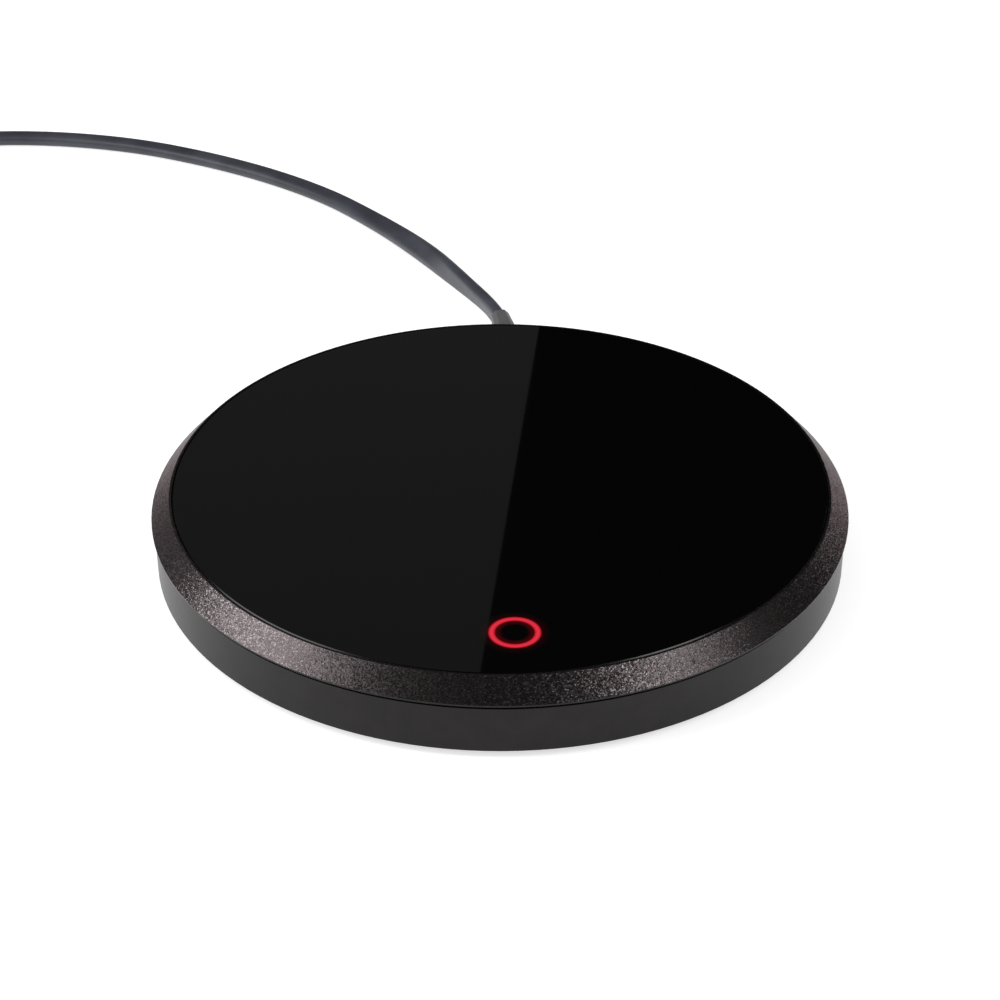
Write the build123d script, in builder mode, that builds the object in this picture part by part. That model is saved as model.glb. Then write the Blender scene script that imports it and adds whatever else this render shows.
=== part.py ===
"""Electric mug warmer: a heated glass plate that floats on springs over a round base.

A mug's weight presses the whole top down onto a switch on the circuit board.
Z is up, the feet stand on Z = 0, the lit ring is at the front (-Y) and the cord
leaves at the back (+Y).
"""

import math
import os

from build123d import *

os.makedirs("parts", exist_ok=True)

# ---------------------------------------------------------------- driving dimensions (mm)
outer_radius = 65.0         # widest edge of the bezel
overall_height = 15.0       # feet to glass
foot_proud = 1.2            # feet below the base
press_travel = 0.6          # how far a mug presses the top down

# fits and clearances
running_gap = 0.3           # between shells that slide past each other
slip_fit = 0.1              # radial room round a piece that drops into a hole or pocket
thread_fit = 0.05           # radial room round a screw's thread
seat_gap = 0.05             # under a piece that only lies on its seat
stop_gap = 0.1              # left between post and boss at the full press
seam_gap = 0.15             # left between bezel and wall at the full press
carrier_gap = 0.2           # left between carrier and board parts at the full press

# bezel and glass
bevel_width = 3.5           # sloping face, seen from above
bevel_height = 3.7
bezel_edge = 0.3            # small upright land under the bevel
lip_width = 0.4             # flat ring between bevel and glass
lip_round = 0.3             # where the bevel meets the lip
edge_round = 0.15           # where the bevel meets its upright land
glass_thickness = 3.0
glass_edge_chamfer = 0.25
shelf_width = 3.6           # ledge that carries the glass
shelf_thickness = 1.2
seal_thickness = 0.3
skirt_thickness = 1.9
skirt_drop = 2.4            # below the bezel's edge, inside the wall
skirt_boot_gap = 0.4        # between skirt and cord boot at the full press

# base shell
wall_inset = 0.5            # base wall behind the bezel's edge
wall_thickness = 2.0
floor_thickness = 1.8
base_edge_chamfer = 0.35

# feet
foot_radius = 5.0
foot_recess = 0.8
foot_inset = 8.1            # middle of a foot, in from the wall's outer face
foot_edge = 0.4
support_angles = [45, 135, 225, 315]

# stop screws, their posts and bosses, and the return springs
post_radius = 3.0
post_drop = 0.7             # below the carrier
post_rise = 2.0             # above the carrier
boss_radius = 4.5
boss_shelf = 1.3            # material between the screw's head and the boss's top
head_room = 0.4             # radial room round a stop screw's head
stop_head_radius = 2.8
stop_head_height = 1.8
shoulder_radius = 1.5
thread_radius = 1.0
slot_width = 0.8            # driver slot in the head
slot_depth = 0.9
spring_wire = 0.7           # width and thickness of the flat wire
spring_turns = 2.25

# small pan-head screws
small_head_radius = 1.9
small_head_height = 1.2
carrier_screw_angles = [20, 110, 200, 290]
bezel_boss_radius = 2.4
bezel_boss_skin = 0.8       # left over the screw's hole, under the glass

# heater stack
spreader_thickness = 0.8
element_thickness = 0.4
pad_thickness = 1.0
sensor_hole_radius = 3.0
sensor_radius = 0.8
sensor_length = 4.0
fuse_x = 14.0
fuse_inset = 21.0           # in from the heater's edge
fuse_radius = 1.5
fuse_length = 9.0
fuse_room = 0.5
lead_x = -5.5
lead_spacing = 5.0
lead_inset = 7.0            # in from the heater's edge
lead_radius = 0.6
lead_room = 0.9

# carrier
carrier_thickness = 1.2
pocket_wall = 1.6
pocket_wall_drop = 0.2      # below the glass
rib_width = 1.2
rib_count = 8
hub_radius = 8.0            # the ribs start at this circle
notch_side = 11.5           # half the width of the notch over the cord clamp
notch_room = 4.0            # in front of the cord's tail, where its cores bend down

# indicator
ring_x = 2.5
ring_inset = 11.7           # middle of the ring, in from the glass's edge
ring_radius = 4.6
ring_line = 0.8
guide_flange = 1.0
guide_flange_thickness = 0.8
pocket_gap = 0.8            # between the guide's flange and the heater's pocket
led_size = 1.6
led_height = 0.7
led_gap = 0.1
led_count = 4

# circuit board
board_room = 2.0            # between the board's sides and the springs
board_lip = 1.1             # board beyond the lit ring
board_back = 20.0
board_corner = 9.0
board_thickness = 1.2
standoff_height = 0.6
standoff_radius = 2.6
standoff_inset = 3.5
standoff_front = 6.0        # behind the board's cut corners
row_inset = 16.0            # row of power parts, in from the board's back edge

# parts on the board
pin_width = 0.4
pin_reach = 1.0
pin_thickness = 0.25
chip_x = 9.0
chip_length = 8.6
chip_width = 3.9
chip_height = 1.4
chip_pitch = 1.27
chip_pins = 7
triac_x = -13.0
triac_length = 6.5
triac_width = 3.5
triac_pitch = 2.3
triac_pins = 3
switch_x = -12.0
switch_y = -14.0
switch_size = 6.2
switch_height = 1.4
switch_corner = 0.5
switch_cover = 0.35
switch_floor = 0.2
plunger_radius = 1.7
plunger_flange = 0.6
plunger_flange_thickness = 0.2
plunger_gap = 0.15          # between plunger and carrier at rest

# mains parts behind the board
part_gap = 3.5              # behind the board's edge
part_room = 1.2             # under the insulation pad at the full press
window_room = 1.0           # round a part that reaches up into the carrier
film_length = 13.0
film_depth = 10.0
film_corner = 0.8
film_edge = 0.4
film_room = 3.5             # between the film capacitor and the spring beside it
can_length = 11.0
can_edge = 0.4
can_room = 5.0              # between the smoothing capacitor and the spring beside it

# cord entry; the flat cord stands on edge here
exit_x = 1.6
cord_width = 4.9
cord_thickness = 2.8
boot_length = 15.0
boot_bend_radius = 70.0
boot_width = 5.6
boot_height = 6.0
boot_corner = 1.1
boot_tip_width = 3.7
boot_tip_height = 5.6
boot_tip_corner = 0.9
boot_sections = 4
boot_grooves = 3
groove_width = 1.0
groove_pitch = 2.4
groove_rib = 0.2            # left round the cord at the bottom of a groove
flange_width = 9.5
flange_thickness = 2.1
clamp_inset = 10.1          # middle of the clamp, in from the wall's inner face
clamp_side = 5.2            # from the cord's middle to each clamp screw
clamp_boss_radius = 2.6
clamp_depth = 6.0
clamp_thickness = 1.2
clamp_drop = 2.0            # from the cord's top down to the underside of the clamp's ears
clamp_gap = 0.25            # so that the screws press the clamp onto the cord
tail_length = 4.2           # jacket in front of the clamp's middle
core_radius = 0.7
core_offset = 1.3           # the same inside the jacket
core_spread = 2.6           # from the cord's middle line to each core's end
core_run = 1.2              # straight bit where the cores leave the jacket
core_clear = 0.6             # behind the notch's front edge, where the cores level out
core_pad_inset = 5.0        # end of the cores, in from the board's back edge

# free cord
cord_bevel = 0.8            # the solid's corners, cut to follow the jacket's round sides
floor_gap = 0.05
first_run = 5.0
last_run = 10.5
run_share = 0.45            # of the shorter run, used up by each arc
twist_corners = 3           # the cord turns from its edge to its broad side along these
twist_sections = 12
coil_x = -162.0
coil_back = 27.5            # middle of the coil, behind the base wall
coil_radius = 27.0
coil_lift = 0.6
coil_columns = 2
coil_layers = 3
coil_slack = 0.4
tie_thickness = 0.5
tie_width = 6.0
tie_side_room = 0.6
tie_top_room = 0.05

# plug
plug_length = 30.0
plug_width = 25.0
plug_thickness = 11.2
plug_corner = 3.0
plug_edge = 1.0
neck_length = 9.0
neck_wall = 1.1             # jacket round the cord where it enters the neck
neck_flare = 2.0            # how much the neck grows on each side
neck_corner = 1.3
shoulder_length = 6.0
blade_spacing = 12.7
blade_width = 6.35
blade_thickness = 1.5
blade_length = 17.5

# ---------------------------------------------------------------- levels, from the floor up
floor_bottom = foot_proud
floor_top = floor_bottom + floor_thickness
board_bottom = floor_top + standoff_height
board_top = board_bottom + board_thickness
switch_top = board_top + switch_height
led_top = board_top + led_height

carrier_bottom = board_top + max(switch_height, chip_height) + carrier_gap + press_travel
carrier_top = carrier_bottom + carrier_thickness
post_bottom = carrier_bottom - post_drop
post_top = carrier_top + post_rise
boss_top = post_bottom - press_travel - stop_gap
stop_head_top = boss_top - boss_shelf
stop_head_bottom = stop_head_top - stop_head_height
guide_bottom = led_top + led_gap + press_travel
plunger_top = carrier_bottom - plunger_gap
spring_low = floor_top + seat_gap
spring_high = carrier_bottom - seat_gap

exit_height = floor_top + slip_fit + boot_height / 2
cord_bottom = exit_height - cord_width / 2
cord_top = exit_height + cord_width / 2
clamp_top = cord_top + clamp_thickness
ear_bottom = cord_top - clamp_drop
ear_top = ear_bottom + clamp_thickness
core_height = board_top + seat_gap + core_radius
boot_top = exit_height + boot_height / 2

# ---------------------------------------------------------------- levels, from the glass down
glass_bottom = overall_height - glass_thickness
shelf_top = glass_bottom - seal_thickness
shelf_bottom = shelf_top - shelf_thickness
bezel_bottom = overall_height - bevel_height - bezel_edge
wall_top = bezel_bottom - press_travel - seam_gap
skirt_bottom = bezel_bottom - skirt_drop
spreader_bottom = glass_bottom - spreader_thickness
element_bottom = spreader_bottom - element_thickness
pad_bottom = element_bottom - pad_thickness
film_height = pad_bottom - press_travel - part_room - floor_top
can_radius = film_height / 2

# ---------------------------------------------------------------- radii, from the bezel in
lip_radius = outer_radius - bevel_width
glass_bore = lip_radius - lip_width
glass_radius = glass_bore - slip_fit
shelf_inner = glass_bore - shelf_width
wall_outer = outer_radius - wall_inset
wall_inner = wall_outer - wall_thickness
skirt_outer = wall_inner - running_gap
skirt_inner = skirt_outer - skirt_thickness
carrier_radius = skirt_inner - running_gap
carrier_screw_circle = shelf_inner - bezel_boss_radius / 2
foot_circle = wall_outer - foot_inset

ring_y = ring_inset - glass_radius
pocket_outer = -ring_y - ring_radius - guide_flange - pocket_gap
pocket_inner = pocket_outer - pocket_wall
heater_radius = pocket_inner - running_gap
post_circle = pocket_outer + post_radius + slip_fit
spring_radius = boss_radius + running_gap + spring_wire / 2
spring_outer = spring_radius + spring_wire / 2

# ---------------------------------------------------------------- places across the base


def around(radius, angle):
    """A point on a circle about the centre of the warmer."""
    turn = math.radians(angle)
    return (radius * math.cos(turn), radius * math.sin(turn))


post_points = [around(post_circle, angle) for angle in support_angles]
foot_points = [around(foot_circle, angle) for angle in support_angles]
carrier_screw_points = [around(carrier_screw_circle, angle) for angle in carrier_screw_angles]
spring_side = post_points[0][0] - spring_outer

fuse_y = fuse_inset - heater_radius
lead_y = lead_inset - heater_radius
lead_points = [(lead_x - lead_spacing / 2, lead_y), (lead_x + lead_spacing / 2, lead_y)]

board_side = spring_side - board_room
board_front = ring_y - ring_radius - board_lip
standoff_x = board_side - standoff_inset
standoff_front_y = board_front + board_corner + standoff_front
standoff_back_y = board_back - standoff_inset
standoff_points = [
    (-standoff_x, standoff_front_y),
    (standoff_x, standoff_front_y),
    (-standoff_x, standoff_back_y),
    (standoff_x, standoff_back_y),
]
row_y = board_back - row_inset
film_x = film_length / 2 + film_room - spring_side
film_y = board_back + part_gap + film_depth / 2
can_x = spring_side - can_room - can_length / 2
can_y = board_back + part_gap + film_depth / 2

clamp_y = wall_inner - clamp_inset
clamp_points = [(exit_x - clamp_side, clamp_y), (exit_x + clamp_side, clamp_y)]
tail_front = clamp_y - tail_length
notch_front = min(tail_front, clamp_y - clamp_depth / 2) - notch_room
flange_back = math.sqrt(wall_inner**2 - (exit_x + flange_width / 2) ** 2) - slip_fit
flange_front = flange_back - flange_thickness
skirt_notch_front = flange_front - 2 * running_gap


def save(piece, name):
    """Label a finished piece and write it as parts/name.step."""
    piece.part.label = name
    export_step(piece.part, f"parts/{name}.step")


# ---------------------------------------------------------------- bezel ring
with BuildPart() as bezel_ring:
    with BuildSketch(Plane.XZ) as profile:
        with BuildLine():
            Polyline(
                (outer_radius, bezel_bottom),
                (outer_radius, bezel_bottom + bezel_edge),
                (lip_radius, overall_height),
                (glass_bore, overall_height),
                (glass_bore, shelf_top),
                (shelf_inner, shelf_top),
                (shelf_inner, shelf_bottom),
                (skirt_inner, shelf_bottom),
                (skirt_inner, skirt_bottom),
                (skirt_outer, skirt_bottom),
                (skirt_outer, bezel_bottom),
                close=True,
            )
        make_face()
        lip_corner = profile.vertices().group_by(Axis.Y)[-1].sort_by(Axis.X)[-1]
        edge_corner = profile.vertices().group_by(Axis.X)[-1].sort_by(Axis.Y)[-1]
        fillet(lip_corner, radius=lip_round)
        fillet(edge_corner, radius=edge_round)
    revolve(axis=Axis.Z)
    # notch in the skirt over the cord's boot
    with BuildSketch(Plane.XY.offset(skirt_bottom)):
        with Locations((exit_x, (skirt_notch_front + wall_outer) / 2)):
            Rectangle(flange_width + 2 * running_gap, wall_outer - skirt_notch_front)
    extrude(amount=boot_top + skirt_boot_gap + press_travel - skirt_bottom, mode=Mode.SUBTRACT)
    # bosses for the carrier's screws, under the shelf
    with BuildSketch(Plane.XY.offset(carrier_top)):
        with Locations(*carrier_screw_points):
            Circle(bezel_boss_radius)
    extrude(amount=shelf_top - carrier_top)
    with BuildSketch(Plane.XY.offset(carrier_top)):
        with Locations(*carrier_screw_points):
            Circle(thread_radius + thread_fit)
    extrude(amount=shelf_top - bezel_boss_skin - carrier_top, mode=Mode.SUBTRACT)
save(bezel_ring, "bezel_ring")

# ---------------------------------------------------------------- glass plate and its seal
with BuildPart() as glass_plate:
    with BuildSketch(Plane.XY.offset(glass_bottom)):
        Circle(glass_radius)
    extrude(amount=glass_thickness)
    chamfer(glass_plate.edges().group_by(Axis.Z)[-1], length=glass_edge_chamfer)
save(glass_plate, "glass_plate")

with BuildPart() as glass_seal:
    with BuildSketch(Plane.XY.offset(shelf_top)):
        Circle(glass_radius)
        Circle(shelf_inner + slip_fit, mode=Mode.SUBTRACT)
    extrude(amount=seal_thickness)
save(glass_seal, "glass_seal")

# ---------------------------------------------------------------- heater stack
with BuildPart() as heat_spreader:
    with BuildSketch(Plane.XY.offset(spreader_bottom)):
        Circle(heater_radius)
    extrude(amount=spreader_thickness)
save(heat_spreader, "heat_spreader")

with BuildPart() as heater_element:
    with BuildSketch(Plane.XY.offset(element_bottom)):
        Circle(heater_radius)
    extrude(amount=element_thickness)
save(heater_element, "heater_element")

with BuildPart() as insulation_pad:
    with BuildSketch(Plane.XY.offset(pad_bottom)):
        Circle(heater_radius)
        Circle(sensor_hole_radius, mode=Mode.SUBTRACT)
        with Locations((fuse_x, fuse_y)):
            Rectangle(
                fuse_length + 2 * fuse_room,
                2 * fuse_radius + 2 * fuse_room,
                mode=Mode.SUBTRACT,
            )
        with Locations(*lead_points):
            Circle(lead_radius + lead_room, mode=Mode.SUBTRACT)
    extrude(amount=pad_thickness)
save(insulation_pad, "insulation_pad")

with BuildPart() as thermal_fuse:
    with BuildSketch(Plane.YZ.offset(fuse_x - fuse_length / 2)):
        with Locations((fuse_y, element_bottom - seat_gap - fuse_radius)):
            Circle(fuse_radius)
    extrude(amount=fuse_length)
    chamfer(thermal_fuse.edges(), length=fuse_radius / 3)
save(thermal_fuse, "thermal_fuse")

with BuildPart() as temperature_sensor:
    with BuildSketch(Plane.YZ.offset(-sensor_length / 2)):
        with Locations((0, element_bottom - seat_gap - sensor_radius)):
            Circle(sensor_radius)
    extrude(amount=sensor_length)
    chamfer(temperature_sensor.edges(), length=sensor_radius / 2)
save(temperature_sensor, "temperature_sensor")

# ---------------------------------------------------------------- carrier under the glass
with BuildPart() as top_carrier:
    with BuildSketch(Plane.XY.offset(carrier_bottom)):
        Circle(carrier_radius)
    extrude(amount=carrier_thickness)
    # ribs that hold the insulation pad up against the heater
    with BuildSketch(Plane.XY.offset(carrier_top)):
        with PolarLocations((hub_radius + pocket_inner) / 2, rib_count):
            Rectangle(pocket_inner - hub_radius, rib_width)
    extrude(amount=pad_bottom - carrier_top)
    # wall round the heater
    with BuildSketch(Plane.XY.offset(carrier_top)):
        Circle(pocket_outer)
        Circle(pocket_inner, mode=Mode.SUBTRACT)
    extrude(amount=glass_bottom - pocket_wall_drop - carrier_top)
    # posts for the stop screws
    with BuildSketch(Plane.XY.offset(post_bottom)):
        with Locations(*post_points):
            Circle(post_radius)
    extrude(amount=post_top - post_bottom)
    with BuildSketch(Plane.XY.offset(post_bottom)):
        with Locations(*post_points):
            Circle(thread_radius + thread_fit)
    extrude(amount=post_top - post_bottom, mode=Mode.SUBTRACT)
    # screw holes, light guide, windows over the tall parts and the notch over the clamp
    with BuildSketch(Plane.XY.offset(carrier_bottom)):
        with Locations(*carrier_screw_points):
            Circle(thread_radius + slip_fit)
        with Locations((ring_x, ring_y)):
            Circle(ring_radius + slip_fit)
        Circle(sensor_hole_radius)
        with Locations((fuse_x, fuse_y)):
            Rectangle(fuse_length + 2 * fuse_room, 2 * fuse_radius + 2 * fuse_room)
        with Locations(*lead_points):
            Circle(lead_radius + lead_room)
        with Locations((film_x, film_y)):
            Rectangle(film_length + 2 * window_room, film_depth + 2 * window_room)
        with Locations((can_x, can_y)):
            Rectangle(can_length + 2 * window_room, 2 * can_radius + 2 * window_room)
        with Locations((exit_x, (notch_front + outer_radius) / 2)):
            Rectangle(2 * notch_side, outer_radius - notch_front)
    extrude(amount=pad_bottom - carrier_bottom, mode=Mode.SUBTRACT)
save(top_carrier, "top_carrier")


def pan_screws(points, underside, length, way):
    """Small pan-head screws seated at 'underside'; the shank goes up for way 1, down for -1."""
    with BuildPart() as fasteners:
        with BuildSketch(Plane.XY.offset(underside)):
            with Locations(*points):
                Circle(small_head_radius)
        extrude(amount=-way * small_head_height)
        with BuildSketch(Plane.XY.offset(underside)):
            with Locations(*points):
                Circle(thread_radius)
        extrude(amount=way * length)
    return fasteners


carrier_screws = pan_screws(
    carrier_screw_points,
    carrier_bottom,
    shelf_top - bezel_boss_skin - slip_fit - carrier_bottom,
    1,
)
save(carrier_screws, "carrier_screws")

with BuildPart() as stop_screws:
    with BuildSketch(Plane.XY.offset(stop_head_bottom)):
        with Locations(*post_points):
            Circle(stop_head_radius)
    extrude(amount=stop_head_height)
    with BuildSketch(Plane.XY.offset(stop_head_bottom)):
        with Locations(*post_points):
            Rectangle(2 * stop_head_radius, slot_width)
    extrude(amount=slot_depth, mode=Mode.SUBTRACT)
    with BuildSketch(Plane.XY.offset(stop_head_top)):
        with Locations(*post_points):
            Circle(shoulder_radius)
    extrude(amount=post_bottom - stop_head_top)
    with BuildSketch(Plane.XY.offset(post_bottom)):
        with Locations(*post_points):
            Circle(thread_radius)
    extrude(amount=post_top - post_bottom)
save(stop_screws, "stop_screws")

# ---------------------------------------------------------------- indicator light guide
with BuildPart() as light_guide:
    with BuildSketch(Plane.XY.offset(guide_bottom)):
        with Locations((ring_x, ring_y)):
            Circle(ring_radius)
            Circle(ring_radius - ring_line, mode=Mode.SUBTRACT)
    extrude(amount=glass_bottom - guide_bottom)
    with BuildSketch(Plane.XY.offset(carrier_top)):
        with Locations((ring_x, ring_y)):
            Circle(ring_radius + guide_flange)
            Circle(ring_radius - ring_line, mode=Mode.SUBTRACT)
    extrude(amount=guide_flange_thickness)
save(light_guide, "light_guide")

with BuildPart() as indicator_leds:
    with BuildSketch(Plane.XY.offset(board_top)):
        with Locations((ring_x, ring_y)):
            with PolarLocations(ring_radius - ring_line / 2, led_count):
                Rectangle(led_size, led_size)
    extrude(amount=led_height)
save(indicator_leds, "indicator_leds")

# ---------------------------------------------------------------- base shell
with BuildPart() as base_shell:
    with BuildSketch(Plane.XY.offset(floor_bottom)):
        Circle(wall_outer)
    extrude(amount=wall_top - floor_bottom)
    chamfer(base_shell.edges().group_by(Axis.Z)[0], length=base_edge_chamfer)
    with BuildSketch(Plane.XY.offset(floor_top)):
        Circle(wall_inner)
    extrude(amount=wall_top - floor_top, mode=Mode.SUBTRACT)
    # bosses for the stop screws
    with BuildSketch(Plane.XY.offset(floor_top)):
        with Locations(*post_points):
            Circle(boss_radius)
    extrude(amount=boss_top - floor_top)
    # board standoffs
    with BuildSketch(Plane.XY.offset(floor_top)):
        with Locations(*standoff_points):
            Circle(standoff_radius)
    extrude(amount=standoff_height)
    # cord clamp: two screw bosses and the pad that the cord lies on
    with BuildSketch(Plane.XY.offset(floor_top)):
        with Locations(*clamp_points):
            Circle(clamp_boss_radius)
    extrude(amount=ear_bottom - clamp_gap - floor_top)
    with BuildSketch(Plane.XY.offset(floor_top)):
        with Locations((exit_x, clamp_y)):
            Rectangle(cord_thickness, clamp_depth)
    extrude(amount=cord_bottom - floor_top)
    # holes: stop screws with their counterbores, foot pockets, pilot holes
    with BuildSketch(Plane.XY.offset(floor_bottom)):
        with Locations(*post_points):
            Circle(stop_head_radius + head_room)
    extrude(amount=stop_head_top - floor_bottom, mode=Mode.SUBTRACT)
    with BuildSketch(Plane.XY.offset(stop_head_top)):
        with Locations(*post_points):
            Circle(shoulder_radius + slip_fit)
    extrude(amount=boss_shelf, mode=Mode.SUBTRACT)
    with BuildSketch(Plane.XY.offset(floor_bottom)):
        with Locations(*foot_points):
            Circle(foot_radius + slip_fit)
    extrude(amount=foot_recess, mode=Mode.SUBTRACT)
    with BuildSketch(Plane.XY.offset(floor_top)):
        with Locations(*standoff_points, *clamp_points):
            Circle(thread_radius + thread_fit)
    extrude(amount=ear_bottom - floor_top, mode=Mode.SUBTRACT)
    # slot in the wall for the cord's boot
    with BuildSketch(Plane.XZ.offset(-wall_outer)):
        with Locations((exit_x, exit_height)):
            RectangleRounded(
                boot_width + 2 * slip_fit,
                boot_height + 2 * slip_fit,
                boot_corner + slip_fit,
            )
    extrude(amount=wall_outer - flange_front, mode=Mode.SUBTRACT)
save(base_shell, "base_shell")

# ---------------------------------------------------------------- feet
for number, foot_point in enumerate(foot_points, start=1):
    with BuildPart() as foot:
        with BuildSketch(Plane.XY):
            with Locations(foot_point):
                Circle(foot_radius)
        extrude(amount=foot_proud + foot_recess)
        chamfer(foot.edges().group_by(Axis.Z)[0], length=foot_edge)
    save(foot, f"foot_{number}")

# ---------------------------------------------------------------- return springs
spring_rise = spring_high - spring_low - spring_wire
for number, (spring_x, spring_y) in enumerate(post_points, start=1):
    with BuildPart() as return_spring:
        with BuildLine() as spring_line:
            Helix(
                pitch=spring_rise / spring_turns,
                height=spring_rise,
                radius=spring_radius,
                center=(spring_x, spring_y, spring_low + spring_wire / 2),
            )
        with BuildSketch(Plane(origin=spring_line.line @ 0, z_dir=spring_line.line % 0)):
            Rectangle(spring_wire, spring_wire)
        sweep(is_frenet=True)
    save(return_spring, f"return_spring_{number}")

# ---------------------------------------------------------------- circuit board and its parts
with BuildPart() as circuit_board:
    with BuildSketch(Plane.XY.offset(board_bottom)) as board_outline:
        with Locations((0, (board_front + board_back) / 2)):
            Rectangle(2 * board_side, board_back - board_front)
        chamfer(board_outline.vertices().group_by(Axis.Y)[0], length=board_corner)
        with Locations(*standoff_points):
            Circle(thread_radius + slip_fit, mode=Mode.SUBTRACT)
    extrude(amount=board_thickness)
save(circuit_board, "circuit_board")

board_screws = pan_screws(standoff_points, board_top, board_thickness + standoff_height, -1)
save(board_screws, "board_screws")

with BuildPart() as controller_chip:
    with BuildSketch(Plane.XY.offset(board_top + pin_thickness)):
        with Locations((chip_x, row_y)):
            Rectangle(chip_length, chip_width)
    extrude(amount=chip_height - pin_thickness)
    with BuildSketch(Plane.XY.offset(board_top)):
        with Locations((chip_x, row_y)):
            with GridLocations(chip_pitch, chip_width, chip_pins, 2):
                Rectangle(pin_width, 2 * pin_reach)
    extrude(amount=2 * pin_thickness)
save(controller_chip, "controller_chip")

with BuildPart() as heater_triac:
    with BuildSketch(Plane.XY.offset(board_top + pin_thickness)):
        with Locations((triac_x, row_y)):
            Rectangle(triac_length, triac_width)
    extrude(amount=chip_height - pin_thickness)
    with BuildSketch(Plane.XY.offset(board_top)):
        with Locations((triac_x, row_y - triac_width / 2)):
            with GridLocations(triac_pitch, pin_reach, triac_pins, 1):
                Rectangle(pin_width, 2 * pin_reach)
        with Locations((triac_x, row_y + triac_width / 2)):
            Rectangle(triac_length / 2, 2 * pin_reach)
    extrude(amount=2 * pin_thickness)
save(heater_triac, "heater_triac")

with BuildPart() as film_capacitor:
    with BuildSketch(Plane.XY.offset(floor_top)):
        with Locations((film_x, film_y)):
            RectangleRounded(film_length, film_depth, film_corner)
    extrude(amount=film_height)
    chamfer(film_capacitor.edges().group_by(Axis.Z)[-1], length=film_edge)
save(film_capacitor, "film_capacitor")

with BuildPart() as smoothing_capacitor:
    with BuildSketch(Plane.YZ.offset(can_x - can_length / 2)):
        with Locations((can_y, floor_top + seat_gap + can_radius)):
            Circle(can_radius)
    extrude(amount=can_length)
    chamfer(smoothing_capacitor.edges(), length=can_edge)
save(smoothing_capacitor, "smoothing_capacitor")

# ---------------------------------------------------------------- switch on the board
plunger_shoulder = switch_top - switch_cover

with BuildPart() as switch_body:
    with BuildSketch(Plane.XY.offset(board_top)):
        with Locations((switch_x, switch_y)):
            RectangleRounded(switch_size, switch_size, switch_corner)
    extrude(amount=switch_height)
    with BuildSketch(Plane.XY.offset(board_top + switch_floor)):
        with Locations((switch_x, switch_y)):
            Circle(plunger_radius + plunger_flange + slip_fit)
    extrude(amount=plunger_shoulder - board_top - switch_floor, mode=Mode.SUBTRACT)
    with BuildSketch(Plane.XY.offset(plunger_shoulder)):
        with Locations((switch_x, switch_y)):
            Circle(plunger_radius + slip_fit)
    extrude(amount=switch_cover, mode=Mode.SUBTRACT)
save(switch_body, "switch_body")

with BuildPart() as switch_plunger:
    with BuildSketch(Plane.XY.offset(plunger_shoulder - plunger_flange_thickness)):
        with Locations((switch_x, switch_y)):
            Circle(plunger_radius + plunger_flange)
    extrude(amount=plunger_flange_thickness)
    with BuildSketch(Plane.XY.offset(plunger_shoulder)):
        with Locations((switch_x, switch_y)):
            Circle(plunger_radius)
    extrude(amount=plunger_top - plunger_shoulder)
save(switch_plunger, "switch_plunger")

# ---------------------------------------------------------------- leads inside the housing
with BuildPart() as heater_leads:
    with BuildSketch(Plane.XY.offset(board_top)):
        with Locations(*lead_points):
            Circle(lead_radius)
    extrude(amount=element_bottom - board_top)
save(heater_leads, "heater_leads")

core_end = board_back - core_pad_inset
core_bend_y = notch_front + core_clear
with BuildPart() as mains_leads:
    for side in (-1, 1):
        core_top = exit_height + side * core_offset
        core_x = exit_x + side * core_spread
        with BuildLine() as core_line:
            Polyline(
                (exit_x, tail_front, core_top),
                (exit_x, tail_front - core_run, core_top),
                (core_x, core_bend_y, core_height),
                (core_x, core_end, core_height),
            )
        with BuildSketch(Plane(origin=core_line.line @ 0, z_dir=core_line.line % 0)):
            Circle(core_radius)
        sweep(transition=Transition.RIGHT)
save(mains_leads, "mains_leads")

# ---------------------------------------------------------------- cord: tail, clamp and boot
with BuildPart() as cord_tail:
    with BuildSketch(Plane.XZ.offset(-tail_front)):
        with Locations((exit_x, exit_height)):
            SlotOverall(cord_width, cord_thickness, rotation=90)
    extrude(amount=tail_front - flange_front)
save(cord_tail, "cord_tail")

# a saddle: a bridge over the cord's edge between two lower ears
clamp_channel = cord_thickness + 2 * slip_fit
with BuildPart() as cord_clamp:
    with BuildSketch(Plane.XY.offset(ear_bottom)):
        with Locations((exit_x, clamp_y)):
            SlotOverall(2 * clamp_side + clamp_depth, clamp_depth)
        with Locations(*clamp_points):
            Circle(thread_radius + slip_fit, mode=Mode.SUBTRACT)
    extrude(amount=clamp_thickness)
    with BuildSketch(Plane.XY.offset(ear_bottom)):
        with Locations((exit_x, clamp_y)):
            Rectangle(clamp_channel + 2 * clamp_thickness, clamp_depth)
    extrude(amount=clamp_top - ear_bottom)
    with BuildSketch(Plane.XY.offset(ear_bottom)):
        with Locations((exit_x, clamp_y)):
            Rectangle(clamp_channel, clamp_depth)
    extrude(amount=cord_top - ear_bottom, mode=Mode.SUBTRACT)
save(cord_clamp, "cord_clamp")

clamp_screws = pan_screws(
    clamp_points,
    ear_top,
    ear_top - floor_top - clamp_gap,
    -1,
)
save(clamp_screws, "clamp_screws")


def boot_plane(distance):
    """The boot's cross-section plane at a distance along its gently bent centre line."""
    turn = distance / boot_bend_radius
    return Plane(
        origin=(
            exit_x - boot_bend_radius * (1 - math.cos(turn)),
            wall_outer + boot_bend_radius * math.sin(turn),
            exit_height,
        ),
        x_dir=(math.cos(turn), math.sin(turn), 0),
        z_dir=(-math.sin(turn), math.cos(turn), 0),
    )


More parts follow.
